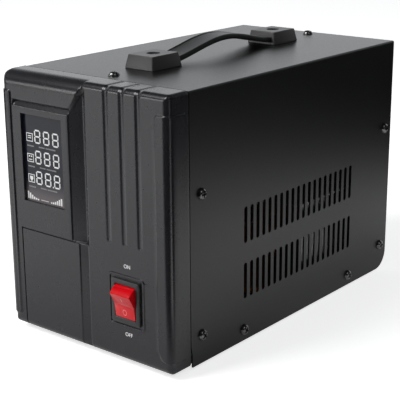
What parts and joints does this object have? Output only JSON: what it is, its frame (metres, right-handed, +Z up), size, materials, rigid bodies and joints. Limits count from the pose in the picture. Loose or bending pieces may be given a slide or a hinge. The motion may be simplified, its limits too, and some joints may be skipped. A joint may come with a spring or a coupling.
{
  "type": "voltage stabilizer",
  "caption": "Desktop voltage stabilizer: black vented steel case, moulded front with display window and red rocker switch, strap handle, sockets at the rear.",
  "frame": {"origin": "centre of the object's box at the underside of the rubber feet", "axes": "+Z up, -Y out of the front with the display and switch, +X to the right seen from the front"},
  "size_m": [0.154, 0.288, 0.2042],
  "materials": {
    "bezel_plastic": "moulded, fine satin texture",
    "powder_black": "black semi-gloss powder coat",
    "zinc_sheet": "zinc plated sheet",
    "dark_screw": "dark nickel plated",
    "bright_screw": "bright zinc plated",
    "strap_rubber": "black moulded rubber",
    "handle_plastic": "black moulded plastic",
    "black_plastic": "black glass filled plastic",
    "red_plastic": "polished translucent red",
    "window_tint": "tinted clear window",
    "lcd_face": "dark display glass",
    "green_board": "green solder mask",
    "brass_contact": "bright brass",
    "foot_rubber": "black rubber",
    "copper_winding": "enamelled copper wire",
    "core_steel": "wound core steel",
    "brown_board": "brown laminate",
    "bracket_steel": "pressed steel",
    "white_gear": "white acetal",
    "carbon": "pressed carbon",
    "ivory_button": "ivory button",
    "relay_blue": "blue relay case",
    "capacitor_sleeve": "shrunk sleeve",
    "red_lead": "red insulation",
    "blue_lead": "blue insulation",
    "earth_lead": "green and yellow insulation"
  },
  "bodies": {
    "case": {"front_bezel": "bezel_plastic", "display_lens": "window_tint", "lcd_module": "lcd_face", "display_board": "green_board", "display_screws": "bright_screw", "plate_screws": "bright_screw", "switch_housing": "black_plastic", "switch_terminals": "brass_contact", "cover": "powder_black", "chassis_base": "zinc_sheet", "front_plate": "zinc_sheet", "rear_panel": "powder_black", "cover_screws": "dark_screw", "handle_block_front": "handle_plastic", "handle_block_rear": "handle_plastic", "handle_strap": "strap_rubber", "handle_band": "zinc_sheet", "handle_screws": "bright_screw", "handle_nuts": "bright_screw", "foot_front_left": "foot_rubber", "foot_front_right": "foot_rubber", "foot_rear_left": "foot_rubber", "foot_rear_right": "foot_rubber", "foot_screws": "bright_screw", "socket_left": "black_plastic", "socket_right": "black_plastic", "socket_contacts_left": "brass_contact", "socket_contacts_right": "brass_contact", "socket_screws": "bright_screw", "inlet_housing": "black_plastic", "inlet_pins": "brass_contact", "inlet_screws": "bright_screw", "breaker_body": "black_plastic", "breaker_nut": "bright_screw", "earth_stud": "brass_contact", "earth_nut": "brass_contact", "ring_pad": "foot_rubber", "ring_core": "core_steel", "ring_winding": "copper_winding", "ring_clamp": "brown_board", "ring_bolts": "bright_screw", "motor_bracket": "bracket_steel", "servo_motor": "bracket_steel", "control_board": "green_board", "board_spacers": "brass_contact", "relay": "relay_blue", "capacitors": "capacitor_sleeve", "small_transformer": "core_steel", "wire_red": "red_lead", "wire_blue": "blue_lead", "wire_earth": "earth_lead"},
    "rocker": {"switch_rocker": "red_plastic"},
    "reset_button": {"breaker_button": "ivory_button"},
    "arm": {"arm_shaft": "bright_screw", "drive_gear": "white_gear", "brush_arm": "bracket_steel", "brush_spring": "bright_screw"},
    "brush": {"carbon_brush": "carbon"},
    "pinion": {"motor_pinion": "brass_contact"},
    "trimmer": {"trimmer_rotor": "white_gear"}
  },
  "joints": [
    {"name": "rocker_toggle", "type": "hinge", "parent": "case", "child": "rocker", "pos_m": [0.037, -0.1338, 0.0476], "axis": [-1, 0, 0], "range_deg": [0, 36]},
    {"name": "reset_travel", "type": "slide", "parent": "case", "child": "reset_button", "axis": [0, 1, 0], "range_m": [0, 0.003]},
    {"name": "arm_turn", "type": "hinge", "parent": "case", "child": "arm", "pos_m": [0, 0.038, 0.0642], "axis": [0, 0, 1], "range_deg": [-150, 150]},
    {"name": "brush_lift", "type": "slide", "parent": "arm", "child": "brush", "axis": [0, 0, 1], "range_m": [0, 0.0015], "stiffness_N_per_m": 250, "deforming": ["brush_spring"]},
    {"name": "pinion_turn", "type": "hinge", "parent": "case", "child": "pinion", "pos_m": [0, 0.06925, 0.0722], "axis": [0, 0, 1], "range_deg": [-390, 390]},
    {"name": "trimmer_turn", "type": "hinge", "parent": "case", "child": "trimmer", "pos_m": [-0.03467, -0.0987, 0.14953], "axis": [0, 1, 0], "range_deg": [-135, 135]}
  ],
  "couplings": [
    {"joint": "pinion_turn", "follows": "arm_turn", "ratio": -2.5714}
  ]
}
